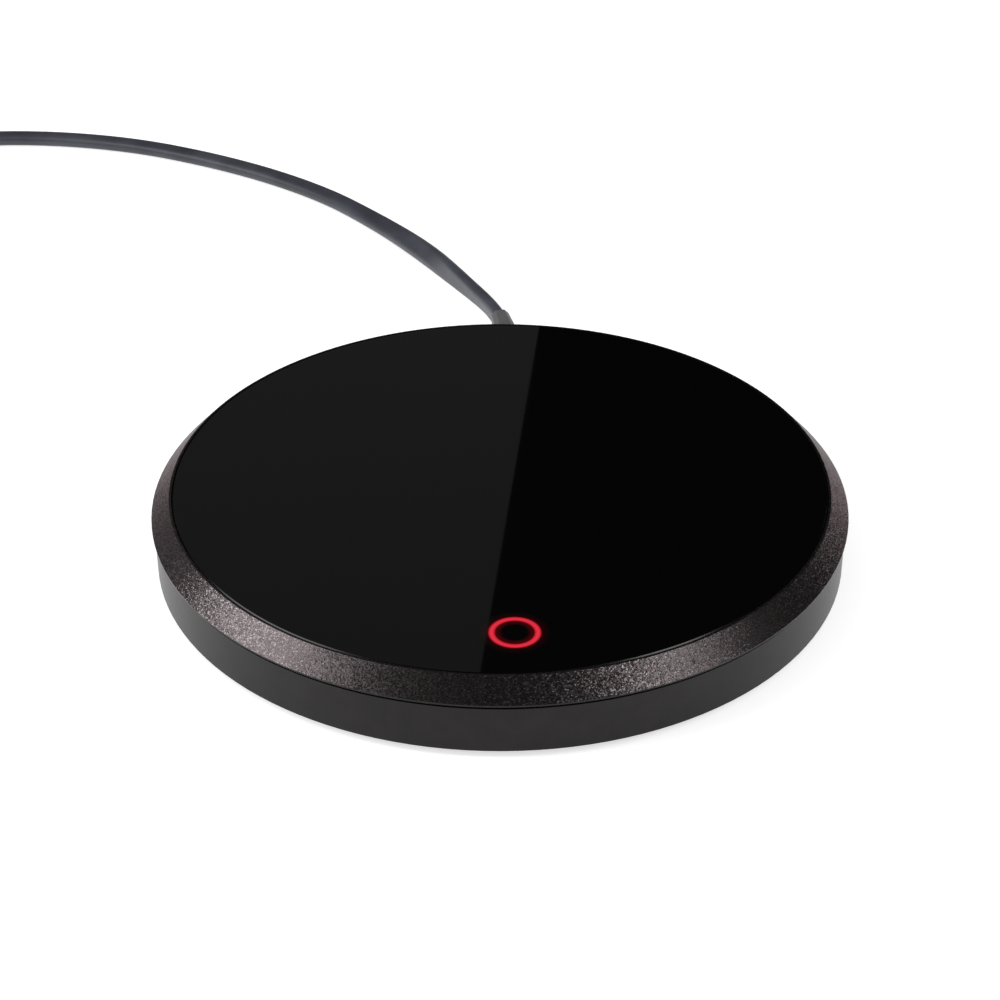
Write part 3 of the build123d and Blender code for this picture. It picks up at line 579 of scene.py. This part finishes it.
def finish_mechanism():
    """Screws, springs, carrier and the stack under the glass."""
    assign(
        mottled("screw_zinc", (0.42, 0.42, 0.43), (0.62, 0.62, 0.61),
                roughness=0.34, grain=700.0, metallic=1.0),
        "stop_screws", "carrier_screws", "board_screws", "clamp_screws",
    )
    assign(
        mottled("spring_wire", (0.48, 0.48, 0.48), (0.66, 0.66, 0.65),
                roughness=0.3, grain=900.0, metallic=1.0),
        "return_spring_1", "return_spring_2", "return_spring_3", "return_spring_4",
    )
    assign(
        mottled("carrier_plastic", (0.020, 0.020, 0.021), (0.032, 0.032, 0.033),
                roughness=0.55, grain=1200.0, bump_height=0.03 * MM),
        "top_carrier", "cord_clamp",
    )
    assign(
        mottled("seal_silicone", (0.012, 0.012, 0.012), (0.020, 0.020, 0.020),
                roughness=0.7, grain=1500.0),
        "glass_seal",
    )
    assign(
        mottled("spreader_metal", (0.66, 0.67, 0.68), (0.78, 0.79, 0.80),
                roughness=0.32, grain=300.0, metallic=1.0),
        "heat_spreader", "thermal_fuse",
    )
    assign(
        mottled("heater_film", (0.40, 0.22, 0.06), (0.55, 0.33, 0.10),
                roughness=0.35, grain=250.0),
        "heater_element",
    )
    assign(
        mottled("felt", (0.60, 0.59, 0.55), (0.80, 0.79, 0.74),
                roughness=0.95, grain=1600.0, bump_height=0.2 * MM),
        "insulation_pad",
    )
    assign(
        mottled("sensor_coat", (0.30, 0.15, 0.05), (0.42, 0.24, 0.09),
                roughness=0.3, grain=900.0),
        "temperature_sensor",
    )
    assign(
        mottled("plunger_acetal", (0.62, 0.60, 0.54), (0.72, 0.70, 0.64),
                roughness=0.4, grain=900.0),
        "switch_plunger",
    )
    assign(
        mottled("guide_plastic", (0.70, 0.10, 0.10), (0.85, 0.16, 0.15),
                roughness=0.2, grain=500.0),
        "light_guide",
    )


def finish_electronics():
    """The board, its parts and the leads."""
    assign(
        mottled("board_mask", (0.012, 0.10, 0.04), (0.018, 0.15, 0.06),
                roughness=0.3, grain=400.0),
        "circuit_board",
    )
    assign(
        mottled("component_black", (0.016, 0.016, 0.016), (0.028, 0.028, 0.028),
                roughness=0.5, grain=1500.0),
        "controller_chip", "heater_triac", "switch_body",
    )
    assign(
        mottled("capacitor_box", (0.44, 0.36, 0.08), (0.56, 0.47, 0.12),
                roughness=0.4, grain=500.0),
        "film_capacitor",
    )
    assign(
        mottled("capacitor_sleeve", (0.020, 0.030, 0.10), (0.035, 0.045, 0.15),
                roughness=0.35, grain=500.0),
        "smoothing_capacitor",
    )
    assign(
        mottled("led_package", (0.70, 0.66, 0.55), (0.82, 0.79, 0.68),
                roughness=0.3, grain=900.0),
        "indicator_leds",
    )
    assign(
        mottled("lead_silicone", (0.30, 0.02, 0.015), (0.42, 0.04, 0.03),
                roughness=0.5, grain=900.0),
        "heater_leads", "mains_leads",
    )


# ---------------------------------------------------------------- stage, lamps and world
def add_panel(name, corners, material):
    """A flat face of the stage, seen from the side that its corners go round counter-clockwise."""
    mesh = bpy.data.meshes.new(name)
    mesh.from_pydata(corners, [], [tuple(range(len(corners)))])
    mesh.materials.append(material)
    panel = add_object(name, mesh)
    return panel


def seen_directly_or_mirrored(tree):
    """1 for camera, mirror and see-through rays, 0 for the rays that light things."""
    rays = tree.nodes.new("ShaderNodeLightPath")
    seen = larger(tree, rays.outputs["Is Camera Ray"], rays.outputs["Is Glossy Ray"])
    return larger(tree, seen, rays.outputs["Is Transmission Ray"])


def floor_material():
    """White to the eye and in mirrors, but still shaded where the object stands on it.

    It can't be seen from below, so that it doesn't hide the object's underside.
    """
    material, tree, shader, _ = new_material("white_floor", (0.9, 0.9, 0.9), 1.0, specular=0.0)
    shader.inputs["Emission Color"].default_value = (1.0, 1.0, 1.0, 1.0)
    lift = remap(tree, seen_directly_or_mirrored(tree), 0.0, floor_lift)
    tree.links.new(lift, shader.inputs["Emission Strength"])
    side = tree.nodes.new("ShaderNodeNewGeometry")
    clear = tree.nodes.new("ShaderNodeBsdfTransparent")
    by_side = tree.nodes.new("ShaderNodeMixShader")
    tree.links.new(side.outputs["Backfacing"], by_side.inputs["Fac"])
    tree.links.new(shader.outputs["BSDF"], by_side.inputs[1])
    tree.links.new(clear.outputs["BSDF"], by_side.inputs[2])
    tree.links.new(by_side.outputs["Shader"], tree.nodes["Material Output"].inputs["Surface"])
    return material


def add_floor():
    half = floor_side / 2
    corners = [(-half, -half, 0.0), (half, -half, 0.0), (half, half, 0.0), (-half, half, 0.0)]
    add_panel("floor", corners, floor_material())


def glow_material(name, strength):
    material = bpy.data.materials.new(name)
    material.use_nodes = True
    tree = material.node_tree
    tree.nodes.clear()
    glow = tree.nodes.new("ShaderNodeEmission")
    glow.inputs["Strength"].default_value = strength
    output = tree.nodes.new("ShaderNodeOutputMaterial")
    tree.links.new(glow.outputs["Emission"], output.inputs["Surface"])
    return material


def add_card():
    """A grey card that only mirrors see; its slanted right side is the line across the glass."""
    corners = [
        (card_left, card_distance, card_low),
        (card_right_low, card_distance, card_low),
        (card_right_high, card_distance, card_high),
        (card_left, card_distance, card_high),
    ]
    card = add_panel("left_card", corners, glow_material("left_card", card_light))
    card.visible_camera = False
    card.visible_diffuse = False
    card.visible_shadow = False
    card.visible_transmission = False


def add_softbox(name, place, size, power):
    """A rectangular lamp that points at the warmer's middle."""
    data = bpy.data.lights.new(name, "AREA")
    data.shape = "RECTANGLE"
    data.size, data.size_y = size
    data.energy = power
    lamp = add_object(name, data)
    lamp.location = place
    lamp.rotation_euler = (-Vector(place)).to_track_quat("-Z", "Y").to_euler()


def white_world():
    """White behind the object and a softer grey as a light.

    Mirrors see white at the horizon and, as in a studio with a dark ceiling, near black above.
    """
    world = bpy.data.worlds.new("white_world")
    bpy.context.scene.world = world
    world.use_nodes = True
    tree = world.node_tree
    tree.nodes.clear()
    rays = tree.nodes.new("ShaderNodeLightPath")
    place = tree.nodes.new("ShaderNodeTexCoord")
    split = tree.nodes.new("ShaderNodeSeparateXYZ")
    tree.links.new(place.outputs["Generated"], split.inputs["Vector"])
    fade = remap(tree, split.outputs["Z"], 1.0, ceiling_light, end=ceiling_starts)
    seen = tree.nodes.new("ShaderNodeBackground")
    soft = tree.nodes.new("ShaderNodeBackground")
    soft.inputs["Strength"].default_value = world_light
    mirrored = tree.nodes.new("ShaderNodeBackground")
    tree.links.new(fade, mirrored.inputs["Strength"])
    for background in (seen, soft, mirrored):
        background.inputs["Color"].default_value = (1.0, 1.0, 1.0, 1.0)
    by_mirror = tree.nodes.new("ShaderNodeMixShader")
    by_eye = tree.nodes.new("ShaderNodeMixShader")
    output = tree.nodes.new("ShaderNodeOutputWorld")
    tree.links.new(rays.outputs["Is Glossy Ray"], by_mirror.inputs["Fac"])
    tree.links.new(soft.outputs["Background"], by_mirror.inputs[1])
    tree.links.new(mirrored.outputs["Background"], by_mirror.inputs[2])
    tree.links.new(rays.outputs["Is Camera Ray"], by_eye.inputs["Fac"])
    tree.links.new(by_mirror.outputs["Shader"], by_eye.inputs[1])
    tree.links.new(seen.outputs["Background"], by_eye.inputs[2])
    tree.links.new(by_eye.outputs["Shader"], output.inputs["Surface"])


# ---------------------------------------------------------------- the scene
add_camera()
drawn_tie = add_tie()
flat_cord = add_cord()
add_lit_ring(lit_ring_material())

finish_outside(flat_cord, drawn_tie)
finish_mechanism()
finish_electronics()

for spring_number in (1, 2, 3, 4):
    add_flexing_copy(f"return_spring_{spring_number}")
add_flexing_copy("heater_leads")

add_floor()
white_world()
add_card()
add_softbox("left_softbox", place=(-0.628, -0.085, 0.483), size=(0.5, 0.6), power=2.8)
add_softbox("right_softbox", place=(0.496, -0.272, 0.56), size=(0.26, 0.28), power=0.85)

bpy.context.scene.view_settings.view_transform = "Standard"
